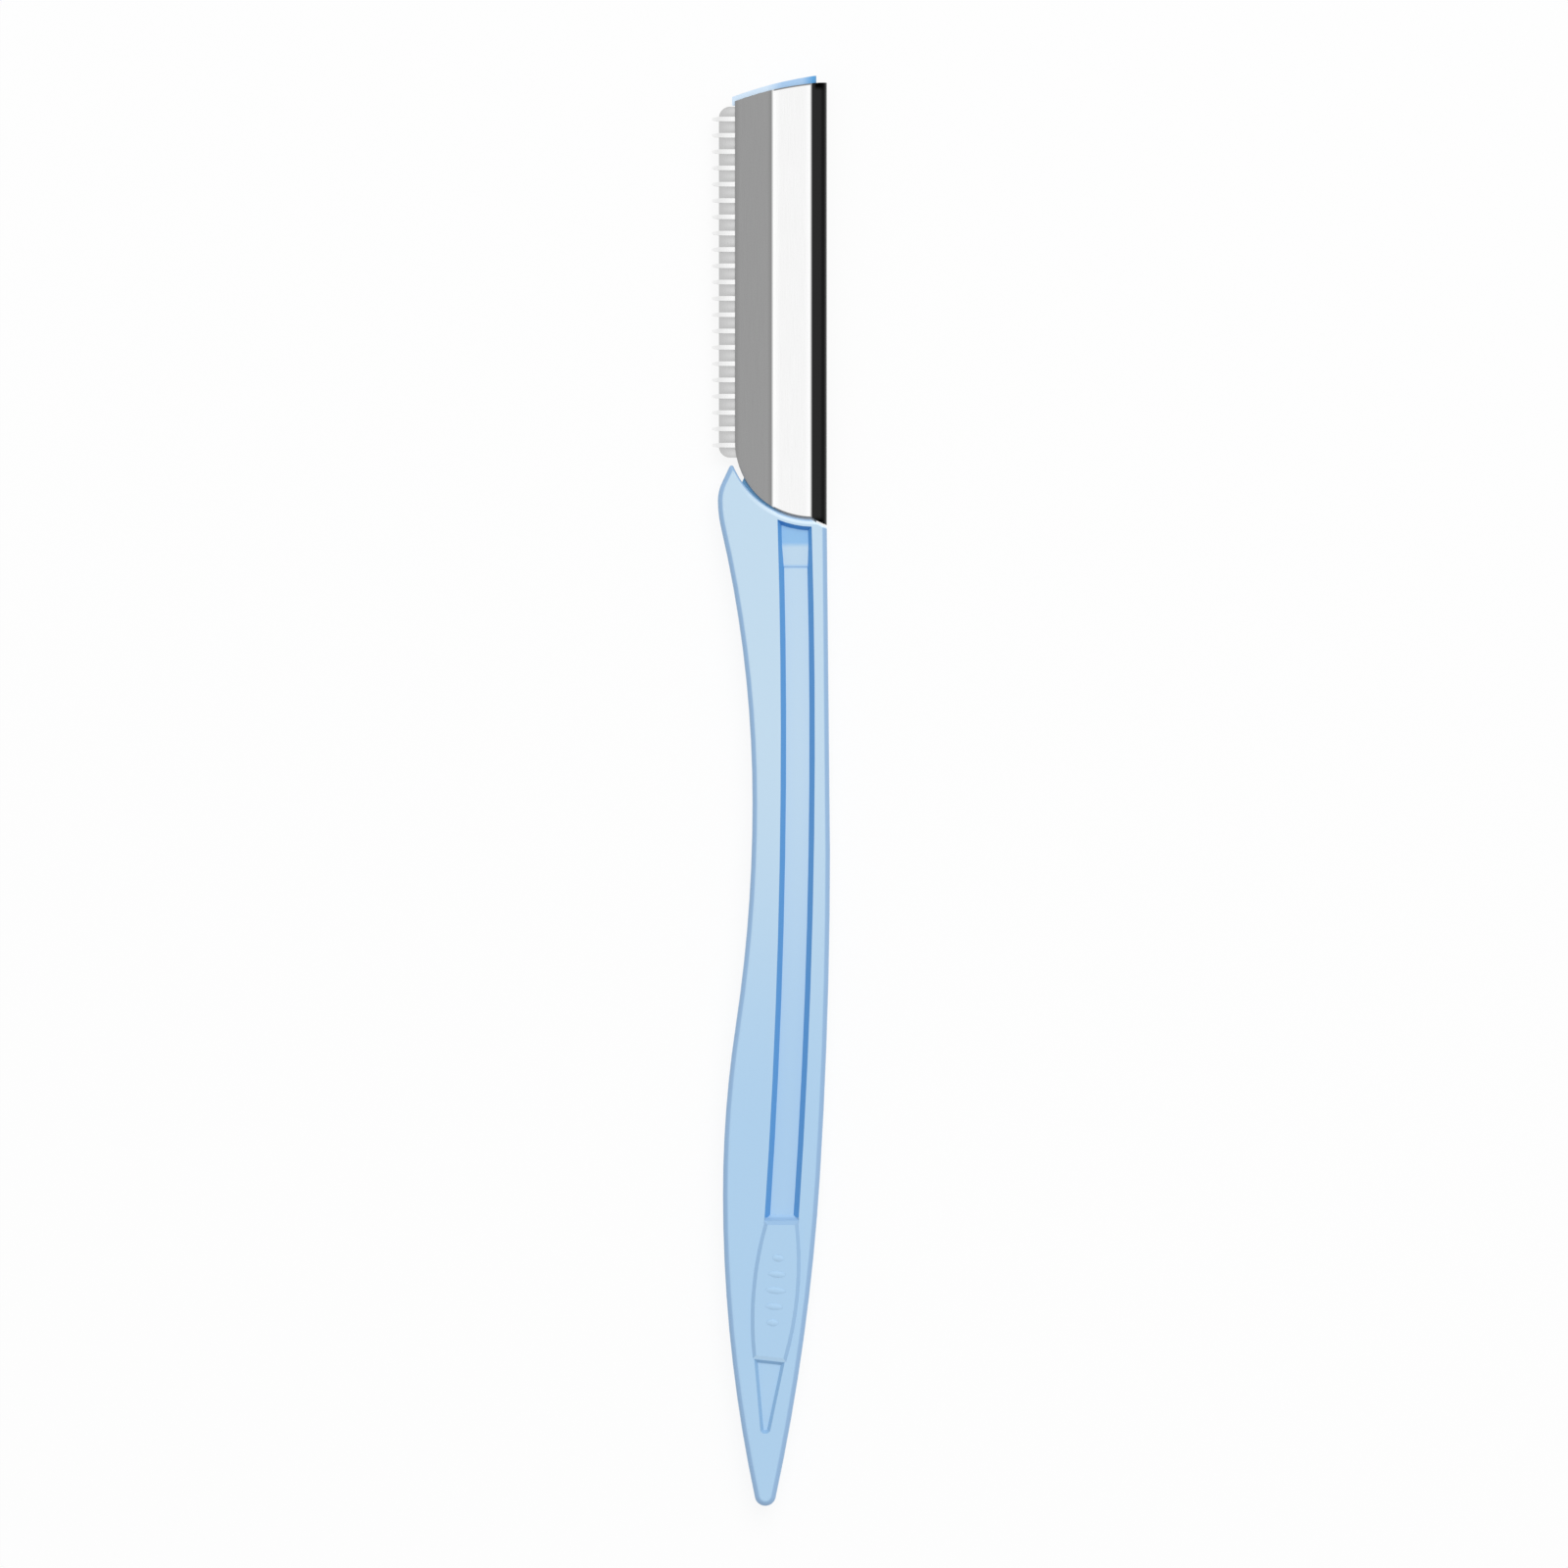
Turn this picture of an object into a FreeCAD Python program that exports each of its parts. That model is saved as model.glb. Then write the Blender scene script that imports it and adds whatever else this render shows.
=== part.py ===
import FreeCAD, Part
import Sketcher
import math
import os
import re

# An eyebrow razor that lies on its back: +Y runs to the blade end, +X to the spine, +Z up.
# Every piece is drawn about its own middle plane, which is set half a handle thickness up.

doc = FreeCAD.newDocument("eyebrow_razor")

# Driving sizes in millimetres, and two ratios: waist_share and top_slant
SIZES = {
    # Where the razor lies in its frame
    "spine_x": 6.05,
    "shoulder_y": 28.495,
    # Handle outline, measured from the spine line, the shoulder and the tip
    "handle_length": 105.9,
    "handle_thick": 3.8,
    "bulge_rise": 2.9,
    "bulge_radius": 12.7,
    "horn_rise": 7.1,
    "horn_width": 1.5,
    "horn_bend": 4.5,
    "waist_width": 8.06,
    "waist_drop": 29.8,
    "waist_share": 0.57,
    "belly_width": 11.26,
    "belly_rise": 33.7,
    "crown_out": 0.34,
    "crown_drop": 35.1,
    "taper_inset": 0.74,
    "taper_rise": 35.8,
    "toe_inset": 6.67,
    "toe_radius": 1.15,
    "edge_round": 0.7,
    "rim_round": 0.25,
    # Curved seat at the top of the handle, where the head butts
    "seat_inset": 1.44,
    "seat_radius": 9.4,
    "lap_width": 1.7,
    "lap_rise": 0.814,
    # Channel along the handle, the ramp at its head and the recess at its foot
    "channel_inset": 3.5,
    "channel_foot_inset": 4.92,
    "channel_radius": 772.0,
    "channel_width": 3.7,
    "channel_depth": 0.85,
    "wall_run": 0.58,
    "end_wall": 0.75,
    "ramp_drop": 4.25,
    "ramp_length": 2.4,
    "ramp_rise": 0.25,
    "ramp_step": 0.06,
    "shelf_cover": 0.15,
    "recess_length": 7.6,
    "recess_width": 3.3,
    "recess_depth": 0.4,
    "recess_run": 0.35,
    "recess_tip": 0.53,
    "recess_nose": 0.3,
    # Thumb pad
    "pad_length": 15.1,
    "pad_width": 3.6,
    "pad_lean": 1.3,
    "pad_tilt": 0.2,
    "pad_land": 0.05,
    "pad_radius": 38.0,
    "pad_height": 0.25,
    "pad_run": 0.4,
    "pad_rise": 30.9,
    # Folded cover
    "head_length": 48.19,
    "head_width": 9.95,
    "head_thick": 3.0,
    "sheet_thick": 0.25,
    "crease_inset": 5.93,
    "crease_round": 1.2,
    "top_slant": 0.2,
    "top_radius": 39.0,
    "seat_gap": 0.27,
    "hem_step": 1.15,
    # Carrier inside the cover
    "carrier_gap": 0.03,
    "carrier_inset": 1.15,
    "carrier_round": 0.5,
    "carrier_depth": 7.6,
    "proud_back": 0.95,
    "proud_front": 0.54,
    "brow_radius": 52.0,
    "plate_reach": 0.32,
    "foot_depth": 9.2,
    "foot_lean": 1.2,
    "slot_depth": 2.4,
    "slot_gap": 0.03,
    "end_gap": 0.13,
    # Tongue that plugs the carrier into the handle
    "tongue_width": 3.6,
    "tongue_thick": 1.0,
    "tongue_drop": 3.3,
    "tongue_chamfer": 0.25,
    "socket_gap": 0.05,
    "socket_relief": 0.3,
    "tooth_rise": 0.8,
    "tooth_length": 1.4,
    "tooth_out": 0.3,
    # Blade
    "blade_thick": 0.2,
    "blade_reveal": 1.75,
    "blade_drop": 0.58,
    "blade_foot": 7.6,
    "blade_corner": 1.2,
    "bevel_width": 0.7,
    "edge_land": 0.02,
    # Guard folded round the cutting edge
    "foil_thick": 0.12,
    "guard_reach": 0.74,
    "bar_pitch": 1.767,
    "bar_width": 0.5,
    "bar_tip": 0.24,
    "bar_margin": 1.3,
    "slot_cover": 0.35,
    "rail_cover": 1.5,
    # How far a cutting profile runs past the piece it trims
    "overrun": 1.0,
}

sheet = doc.addObject("Spreadsheet::Sheet", "Sizes")
for row, (word, size) in enumerate(SIZES.items(), start=1):
    sheet.set(f"A{row}", word)
    sheet.set(f"B{row}", str(size))
    sheet.setAlias(f"B{row}", word)
doc.recompute()

# Places that follow from the driving sizes
PLACES = {
    "middle_z": "handle_thick / 2",
    "tip_y": "shoulder_y - handle_length",
    # Seat arc and the dip beside the spine
    "seat_x": "spine_x - seat_inset",
    "lap_x": "spine_x - lap_width",
    "lap_y": "shoulder_y + lap_rise",
    "seat_y": "lap_y + sqrt(seat_radius^2 - (lap_x - seat_x)^2)",
    # Blade side of the handle, from the horn down to the toe
    "horn_y": "shoulder_y + horn_rise",
    "horn_x": "seat_x - sqrt(seat_radius^2 - (seat_y - horn_y)^2)",
    "bulge_x": "horn_x - horn_width",
    "bulge_y": "shoulder_y + bulge_rise",
    "bend_x": "bulge_x + horn_bend",
    "horn_run": "(horn_x - bend_x)^2 + (horn_y - bulge_y)^2",
    "horn_edge": "sqrt(horn_run - horn_bend^2)",
    "cheek_across": "horn_bend * (horn_x - bend_x) - horn_edge * (horn_y - bulge_y)",
    "cheek_up": "horn_bend * (horn_y - bulge_y) + horn_edge * (horn_x - bend_x)",
    "cheek_x": "bend_x + cheek_across * horn_bend / horn_run",
    "cheek_y": "bulge_y + cheek_up * horn_bend / horn_run",
    "waist_x": "spine_x - waist_width",
    "waist_y": "shoulder_y - waist_drop",
    "neck_sum": "((waist_x - bulge_x)^2 + (bulge_y - waist_y)^2) / (2 * (waist_x - bulge_x))",
    "neck_radius": "neck_sum - bulge_radius",
    "neck_x": "bulge_x + (waist_x - bulge_x) * bulge_radius / neck_sum",
    "neck_y": "bulge_y + (waist_y - bulge_y) * bulge_radius / neck_sum",
    "belly_x": "spine_x - belly_width",
    "belly_y": "tip_y + belly_rise",
    "flank_sum": "((waist_x - belly_x)^2 + (waist_y - belly_y)^2) / (2 * (waist_x - belly_x))",
    "waist_radius": "flank_sum * waist_share",
    "flank_radius": "flank_sum - waist_radius",
    "flank_x": "waist_x + (belly_x - waist_x) * waist_share",
    "flank_y": "waist_y + (belly_y - waist_y) * waist_share",
    "toe_x": "spine_x - toe_inset",
    "toe_y": "tip_y + toe_radius",
    "toe_span": "(toe_x - belly_x)^2 + (belly_y - toe_y)^2 - toe_radius^2",
    "heel_radius": "toe_span / (2 * (toe_x - belly_x - toe_radius))",
    "toe_share": "toe_radius / (heel_radius - toe_radius)",
    "toe_left_x": "toe_x + (toe_x - belly_x - heel_radius) * toe_share",
    "toe_left_y": "toe_y + (toe_y - belly_y) * toe_share",
    # Spine side of the handle: straight to the crown, then two arcs down to the toe
    "crown_x": "spine_x + crown_out",
    "crown_y": "shoulder_y - crown_drop",
    "taper_x": "spine_x - taper_inset",
    "taper_y": "tip_y + taper_rise",
    "crown_radius": "((crown_x - taper_x)^2 + (crown_y - taper_y)^2) / (2 * (crown_x - taper_x))",
    "turn_x": "(crown_x - crown_radius - taper_x) / crown_radius",
    "turn_y": "(crown_y - taper_y) / crown_radius",
    "taper_span": "(taper_x - toe_x)^2 + (taper_y - toe_y)^2 - toe_radius^2",
    "taper_lean": "(taper_x - toe_x) * turn_x + (taper_y - toe_y) * turn_y + toe_radius",
    "taper_radius": "0 - taper_span / (2 * taper_lean)",
    "taper_share": "toe_radius / (taper_radius - toe_radius)",
    "toe_right_x": "toe_x + (toe_x - taper_x - turn_x * taper_radius) * taper_share",
    "toe_right_y": "toe_y + (toe_y - taper_y - turn_y * taper_radius) * taper_share",
    # Channel, ramp and recess
    "channel_x": "spine_x - channel_inset",
    "channel_foot_x": "spine_x - channel_foot_inset",
    "channel_left": "channel_x - channel_width / 2",
    "channel_right": "channel_x + channel_width / 2",
    "channel_end": "seat_radius + end_wall",
    "channel_left_y": "seat_y - sqrt(channel_end^2 - (channel_left - seat_x)^2)",
    "channel_right_y": "seat_y - sqrt(channel_end^2 - (channel_right - seat_x)^2)",
    "floor_z": "middle_z - channel_depth",
    "ramp_low": "shoulder_y - ramp_drop",
    "ramp_top": "ramp_low + ramp_length",
    "shelf_end": "lap_y - shelf_cover",
    "pad_top": "tip_y + pad_rise",
    "pad_low": "pad_top - pad_length",
    "pad_foot_x": "channel_foot_x - pad_lean",
    "recess_tilt": "pad_tilt * recess_width / pad_width",
    "recess_top": "pad_low - pad_land",
    "recess_low": "recess_top - recess_length",
    "recess_radius": "(recess_tip^2 + recess_nose^2) / (2 * recess_nose)",
    # Head
    "front_x": "spine_x - head_width",
    "crease_x": "spine_x - crease_inset",
    "cover_half": "head_thick / 2",
    "lip_half": "blade_thick / 2 + foil_thick",
    "slope": "(cover_half - sheet_thick - lip_half) / (crease_x - front_x)",
    "cover_top": "shoulder_y + head_length",
    "cover_front": "cover_top - head_width * top_slant",
    "cover_lap_y": "lap_y + seat_gap",
    "hem_radius": "seat_radius - hem_step",
    "hem_y": "cover_lap_y + hem_radius",
    "spine_low": "shoulder_y + seat_gap",
    "lap_fall": "(spine_low - cover_lap_y) / lap_width",
    "cover_low": "shoulder_y - overrun",
    # Blade
    "blade_x": "front_x - blade_reveal",
    "heel_x": "slot_x - slot_gap",
    "blade_top": "cover_front - blade_drop",
    "blade_low": "shoulder_y + blade_foot",
    # Carrier
    "carrier_half": "cover_half - sheet_thick - carrier_gap",
    "carrier_x": "spine_x - carrier_inset",
    "carrier_front": "spine_x - carrier_depth",
    "carrier_low": "lap_y - (lap_y - shoulder_y) * (carrier_x - lap_x) / lap_width",
    "slot_x": "carrier_front + slot_depth",
    "carrier_top": "cover_top - carrier_inset * top_slant + proud_back",
    "plate_x": "front_x - plate_reach",
    "plate_top": "cover_front - plate_reach * top_slant + proud_front",
    "plate_low": "blade_top + end_gap",
    "foot_x": "spine_x - foot_depth",
    "foot_top": "blade_low - end_gap",
    "foot_low": "seat_y - sqrt(seat_radius^2 - (foot_x - seat_x)^2)",
    "tongue_end": "shoulder_y - tongue_drop",
    "tongue_half": "tongue_thick / 2",
    "tongue_left": "channel_x - tongue_width / 2",
    "tongue_right": "channel_x + tongue_width / 2",
    "tooth_low": "tongue_end + tooth_rise",
    "tooth_top": "tooth_low + tooth_length",
    "socket_left": "tongue_left - socket_gap",
    "socket_right": "tongue_right + socket_gap",
    "socket_end": "tongue_end - socket_relief",
    "notch_top": "tooth_top + socket_gap",
    # Guard
    "reach_x": "blade_x - guard_reach",
    "nose_x": "reach_x + lip_half",
    "rail_x": "front_x + rail_cover",
    "bar_gaps": "floor((blade_top - blade_low - 2 * bar_margin) / bar_pitch)",
    "guard_middle": "(blade_top + blade_low) / 2",
    "guard_half": "(bar_gaps + 1) * bar_pitch / 2",
    "guard_low": "guard_middle - guard_half",
    "slot_half": "(bar_pitch - bar_width) / 2",
    "mouth_half": "(bar_pitch - bar_tip) / 2",
}


LEFT = 1
RIGHT = -1


def linked(formula):
    """Turns a formula in the sheet's words into an expression of the document."""
    def path(match):
        word = match.group()
        if word in SIZES:
            return "Sizes." + word
        if word in PLACES:
            return "Places." + word
        return word
    return re.sub(r"[a-z][a-z0-9_]*", path, formula)


places = doc.addObject("App::VarSet", "Places")
for word in PLACES:
    places.addProperty("App::PropertyFloat", word)
for word, formula in PLACES.items():
    places.setExpression(word, linked(formula))
doc.recompute()


def number(formula):
    """The present value of a formula."""
    return float(sheet.evalExpression(linked(formula)))


def new_body(name):
    """An empty piece whose middle plane is half a handle thickness up."""
    body = doc.addObject("PartDesign::Body", name)
    body.Label = name
    body.setExpression("Placement.Base.z", linked("middle_z"))
    return body


def origin_plane(body, role):
    return next(item for item in body.Origin.OriginFeatures if item.Role == role)


def arc_between(start, end, radius, turn):
    """The short arc of a radius that leaves start and turns left or right to end."""
    chord = end - start
    reach = math.sqrt(max(0.0, radius ** 2 - chord.Length ** 2 / 4))
    across = FreeCAD.Vector(-chord.y, chord.x, 0).normalize()
    center = (start + end) * 0.5 + across * (reach * turn)
    first, last = (start, end) if turn == LEFT else (end, start)
    angles = [math.atan2(point.y - center.y, point.x - center.x) for point in (first, last)]
    return Part.ArcOfCircle(Part.Circle(center, FreeCAD.Vector(0, 0, 1), radius), *angles)


def draw(body, role, name, corners, height="0"):
    """A closed profile: each corner is (x, y), or (x, y, radius, turn) where an arc leaves it."""
    sketch = body.newObject("Sketcher::SketchObject", name)
    sketch.AttachmentSupport = [(origin_plane(body, role), "")]
    sketch.MapMode = "FlatFace"
    sketch.setExpression("AttachmentOffset.Base.z", linked(height))
    points = [FreeCAD.Vector(number(corner[0]), number(corner[1]), 0) for corner in corners]
    sides = []
    for index, corner in enumerate(corners):
        start = points[index]
        end = points[(index + 1) % len(points)]
        if len(corner) == 2:
            side = sketch.addGeometry(Part.LineSegment(start, end))
            sides.append((side, 1, 2))
            continue
        radius, turn = corner[2:]
        side = sketch.addGeometry(arc_between(start, end, number(radius), turn))
        sides.append((side, 1, 2) if turn == LEFT else (side, 2, 1))
        tie(sketch, Sketcher.Constraint("Radius", side, number(radius)), radius)
    for index, corner in enumerate(corners):
        side, start, _ = sides[index]
        before, _, end = sides[index - 1]
        sketch.addConstraint(Sketcher.Constraint("Coincident", before, end, side, start))
        for kind, formula in zip(("DistanceX", "DistanceY"), corner):
            tie(sketch, Sketcher.Constraint(kind, side, start, number(formula)), formula)
    doc.recompute()
    return sketch


def tie(sketch, constraint, formula):
    """Adds a constraint whose value follows a formula."""
    index = sketch.addConstraint(constraint)
    sketch.setExpression(f"Constraints[{index}]", linked(formula))


def extrude(kind, sketch, name, length, side="Symmetric", taper=None):
    """Pads or pockets a sketch of its own body by a length."""
    body = sketch.getParentGeoFeatureGroup()
    feature = body.newObject("PartDesign::" + kind, name)
    feature.Profile = sketch
    feature.SideType = side
    feature.setExpression("Length", linked(length))
    if taper:
        feature.setExpression("TaperAngle", linked(taper))
    body.Tip = feature
    doc.recompute()
    return feature


def mirror(body, name, features):
    """Repeats features of a body on the other side of its middle plane."""
    feature = body.newObject("PartDesign::Mirrored", name)
    feature.Originals = features
    feature.MirrorPlane = (origin_plane(body, "XY_Plane"), [""])
    body.Tip = feature
    doc.recompute()
    return feature


def soften(kind, size_property, base, name, size, wanted):
    """Fillets or chamfers the edges of a feature whose middle point is wanted."""
    body = base.getParentGeoFeatureGroup()
    edges = []
    for index, edge in enumerate(base.Shape.Edges, start=1):
        middle = edge.valueAt((edge.FirstParameter + edge.LastParameter) / 2)
        if wanted(middle, edge):
            edges.append(f"Edge{index}")
    feature = body.newObject("PartDesign::" + kind, name)
    feature.Base = (base, edges)
    feature.setExpression(size_property, linked(size))
    body.Tip = feature
    doc.recompute()
    return feature


def fillet(base, name, radius, wanted):
    return soften("Fillet", "Radius", base, name, radius, wanted)


def chamfer(base, name, size, wanted):
    return soften("Chamfer", "Size", base, name, size, wanted)


NEAR = 0.001


def near(value, formula):
    return abs(value - number(formula)) < NEAR


# Handle
def build_handle():
    handle = new_body("handle")
    outline = draw(handle, "XY_Plane", "grip_outline", [
        ("spine_x", "shoulder_y"),
        ("lap_x", "lap_y", "seat_radius", RIGHT),
        ("horn_x", "horn_y"),
        ("cheek_x", "cheek_y", "horn_bend", LEFT),
        ("bulge_x", "bulge_y", "bulge_radius", LEFT),
        ("neck_x", "neck_y", "neck_radius", RIGHT),
        ("waist_x", "waist_y", "waist_radius", RIGHT),
        ("flank_x", "flank_y", "flank_radius", LEFT),
        ("belly_x", "belly_y", "heel_radius", LEFT),
        ("toe_left_x", "toe_left_y", "toe_radius", LEFT),
        ("toe_right_x", "toe_right_y", "taper_radius", LEFT),
        ("taper_x", "taper_y", "crown_radius", LEFT),
        ("crown_x", "crown_y"),
    ])
    grip = extrude("Pad", outline, "grip", "handle_thick")

    def on_seat(point):
        reach = math.hypot(point.x - number("seat_x"), point.y - number("seat_y"))
        return near(reach, "seat_radius") or point.x > number("lap_x") and point.y > number("shoulder_y")

    def on_face(point):
        return near(abs(point.z), "handle_thick / 2")

    grip = fillet(grip, "grip_edges", "edge_round",
                  lambda point, edge: on_face(point) and not on_seat(point))
    grip = fillet(grip, "seat_edges", "rim_round",
                  lambda point, edge: on_face(point) and on_seat(point))

    channel = draw(handle, "XY_Plane", "channel_outline", [
        ("channel_right", "channel_right_y", "channel_end", RIGHT),
        ("channel_left", "channel_left_y", "channel_radius - channel_width / 2", RIGHT),
        ("channel_foot_x - channel_width / 2", "pad_top"),
        ("channel_foot_x + channel_width / 2", "pad_top", "channel_radius + channel_width / 2", LEFT),
    ], height="handle_thick / 2")
    channel = extrude("Pocket", channel, "channel", "channel_depth", "One side",
                      taper="atan(-wall_run / channel_depth)")
    ramp = draw(handle, "YZ_Plane", "ramp_profile", [
        ("ramp_low", "floor_z - ramp_step"),
        ("shelf_end", "floor_z - ramp_step"),
        ("shelf_end", "floor_z + ramp_rise"),
        ("ramp_top", "floor_z + ramp_rise"),
        ("ramp_low", "floor_z + ramp_step"),
    ], height="channel_x")
    ramp = extrude("Pad", ramp, "ramp", "channel_width - wall_run")
    recess = draw(handle, "XY_Plane", "recess_outline", [
        ("pad_foot_x - recess_width / 2", "recess_top + recess_tilt"),
        ("toe_x - recess_tip", "recess_low", "recess_radius", LEFT),
        ("toe_x + recess_tip", "recess_low"),
        ("pad_foot_x + recess_width / 2", "recess_top - recess_tilt"),
    ], height="handle_thick / 2")
    recess = extrude("Pocket", recess, "recess", "recess_depth", "One side",
                     taper="atan(-recess_run / recess_depth)")
    mirror(handle, "back_face", [channel, ramp, recess])
    socket = draw(handle, "XY_Plane", "socket_outline", [
        ("socket_left", "socket_end"),
        ("socket_right", "socket_end"),
        ("socket_right", "tooth_low"),
        ("socket_right + tooth_out", "tooth_low"),
        ("socket_right + tooth_out", "notch_top"),
        ("socket_right", "notch_top"),
        ("socket_right", "seat_y"),
        ("socket_left", "seat_y"),
        ("socket_left", "notch_top"),
        ("socket_left - tooth_out", "notch_top"),
        ("socket_left - tooth_out", "tooth_low"),
        ("socket_left", "tooth_low"),
    ])
    extrude("Pocket", socket, "socket", "tongue_thick + 2 * socket_gap")
    pad = draw(handle, "XY_Plane", "pad_outline", [
        ("channel_foot_x - pad_width / 2", "pad_top - pad_land", "pad_radius", LEFT),
        ("pad_foot_x - pad_width / 2", "pad_low + pad_tilt"),
        ("pad_foot_x + pad_width / 2", "pad_low - pad_tilt", "pad_radius", LEFT),
        ("channel_foot_x + pad_width / 2", "pad_top - pad_land"),
    ], height="handle_thick / 2")
    extrude("Pad", pad, "thumb_pad", "pad_height", "One side", taper="atan(-pad_run / pad_height)")
    return handle


# Blade carrier
def build_carrier():
    carrier = new_body("blade_carrier")
    plan = draw(carrier, "XY_Plane", "carrier_plan", [
        ("carrier_x", "carrier_low"),
        ("carrier_x", "carrier_top", "brow_radius", LEFT),
        ("plate_x", "plate_top"),
        ("plate_x", "plate_low"),
        ("carrier_front", "plate_low"),
        ("carrier_front", "foot_top"),
        ("foot_x + foot_lean", "foot_top"),
        ("foot_x", "foot_low", "seat_radius", LEFT),
        ("lap_x", "lap_y"),
    ])
    core = extrude("Pad", plan, "core", "2 * carrier_half")
    fillet(core, "spine_edges", "carrier_round",
           lambda point, edge: near(point.x, "carrier_x") and near(abs(point.z), "carrier_half"))
    slope = draw(carrier, "XZ_Plane", "slope_profile", [
        ("crease_x", "carrier_half"),
        ("crease_x", "carrier_half + overrun"),
        ("plate_x - overrun", "carrier_half + overrun"),
        ("plate_x - overrun", "carrier_half - slope * (crease_x - plate_x + overrun)"),
    ])
    slope = extrude("Pocket", slope, "slope", "2 * (carrier_top + overrun)")
    mirror(carrier, "slopes", [slope])
    slot = draw(carrier, "XY_Plane", "slot_outline", [
        ("carrier_front - slot_depth", "foot_top"),
        ("slot_x", "foot_top"),
        ("slot_x", "plate_low"),
        ("carrier_front - slot_depth", "plate_low"),
    ])
    extrude("Pocket", slot, "blade_slot", "blade_thick + 2 * slot_gap")
    tongue = draw(carrier, "XY_Plane", "tongue_outline", [
        ("tongue_left", "tongue_end"),
        ("tongue_right", "tongue_end"),
        ("tongue_right", "tooth_low"),
        ("tongue_right + tooth_out", "tooth_top"),
        ("tongue_right", "tooth_top"),
        ("tongue_right", "lap_y + 2 * overrun"),
        ("tongue_left", "lap_y + 2 * overrun"),
        ("tongue_left", "tooth_top"),
        ("tongue_left - tooth_out", "tooth_top"),
        ("tongue_left", "tooth_low"),
    ])
    tongue = extrude("Pad", tongue, "tongue", "tongue_thick")
    chamfer(tongue, "tongue_lead", "tongue_chamfer",
            lambda point, edge: near(point.y, "tongue_end") and near(abs(point.z), "tongue_half"))
    return carrier


# Folded cover
def build_cover():
    cover = new_body("blade_cover")
    fold_x = "spine_x - cover_half"
    inner = "cover_half - sheet_thick"
    section = draw(cover, "XZ_Plane", "cover_section", [
        ("front_x", "lip_half + sheet_thick"),
        ("front_x", "lip_half"),
        ("crease_x", inner),
        (fold_x, inner, inner, RIGHT),
        ("spine_x - sheet_thick", "0", inner, RIGHT),
        (fold_x, f"0 - ({inner})"),
        ("crease_x", f"0 - ({inner})"),
        ("front_x", "0 - lip_half"),
        ("front_x", "0 - lip_half - sheet_thick"),
        ("crease_x", "0 - cover_half"),
        (fold_x, "0 - cover_half", "cover_half", LEFT),
        ("spine_x", "0", "cover_half", LEFT),
        (fold_x, "cover_half"),
        ("crease_x", "cover_half"),
    ], height="0 - cover_top - overrun")
    folded = extrude("Pad", section, "folded_sheet", "cover_top + overrun - cover_low", "One side")
    folded = fillet(folded, "outer_creases", "crease_round",
                    lambda point, edge: near(point.x, "crease_x") and near(abs(point.z), "cover_half"))
    fillet(folded, "inner_creases", "crease_round - sheet_thick",
           lambda point, edge: near(point.x, "crease_x") and near(abs(point.z), inner))
    top = draw(cover, "XY_Plane", "top_trim", [
        ("front_x - overrun", "cover_front"),
        ("front_x", "cover_front", "top_radius", RIGHT),
        ("spine_x", "cover_top"),
        ("spine_x + overrun", "cover_top"),
        ("spine_x + overrun", "cover_top + 3 * overrun"),
        ("front_x - overrun", "cover_top + 3 * overrun"),
    ])
    extrude("Pocket", top, "curved_top", "head_thick + 2 * overrun")
    low = draw(cover, "XY_Plane", "low_trim", [
        ("lap_x - hem_radius", "hem_y", "hem_radius", LEFT),
        ("lap_x", "cover_lap_y"),
        ("spine_x + overrun", "spine_low + lap_fall * overrun"),
        ("spine_x + overrun", "cover_low - overrun"),
        ("front_x - overrun", "cover_low - overrun"),
        ("front_x - overrun", "hem_y"),
    ])
    extrude("Pocket", low, "curved_foot", "head_thick + 2 * overrun")
    return cover


# Blade
def build_blade():
    blade = new_body("blade")
    half = "blade_thick / 2"
    rise = "(blade_thick - edge_land) / 2 / bevel_width"
    plan = draw(blade, "XY_Plane", "blade_plan", [
        ("heel_x", "blade_low"),
        ("heel_x", "blade_top"),
        ("blade_x + blade_corner", "blade_top", "blade_corner", LEFT),
        ("blade_x", "blade_top - blade_corner"),
        ("blade_x", "blade_low + blade_corner", "blade_corner", LEFT),
        ("blade_x + blade_corner", "blade_low"),
    ])
    extrude("Pad", plan, "strip", "blade_thick")
    bevel = draw(blade, "XZ_Plane", "bevel_profile", [
        ("blade_x + bevel_width", half),
        ("blade_x + bevel_width", f"{half} + overrun"),
        ("blade_x - overrun", f"{half} + overrun"),
        ("blade_x - overrun", f"edge_land / 2 - overrun * {rise}"),
    ])
    bevel = extrude("Pocket", bevel, "bevel", "2 * (cover_top + overrun)")
    mirror(blade, "bevels", [bevel])
    return blade


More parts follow.
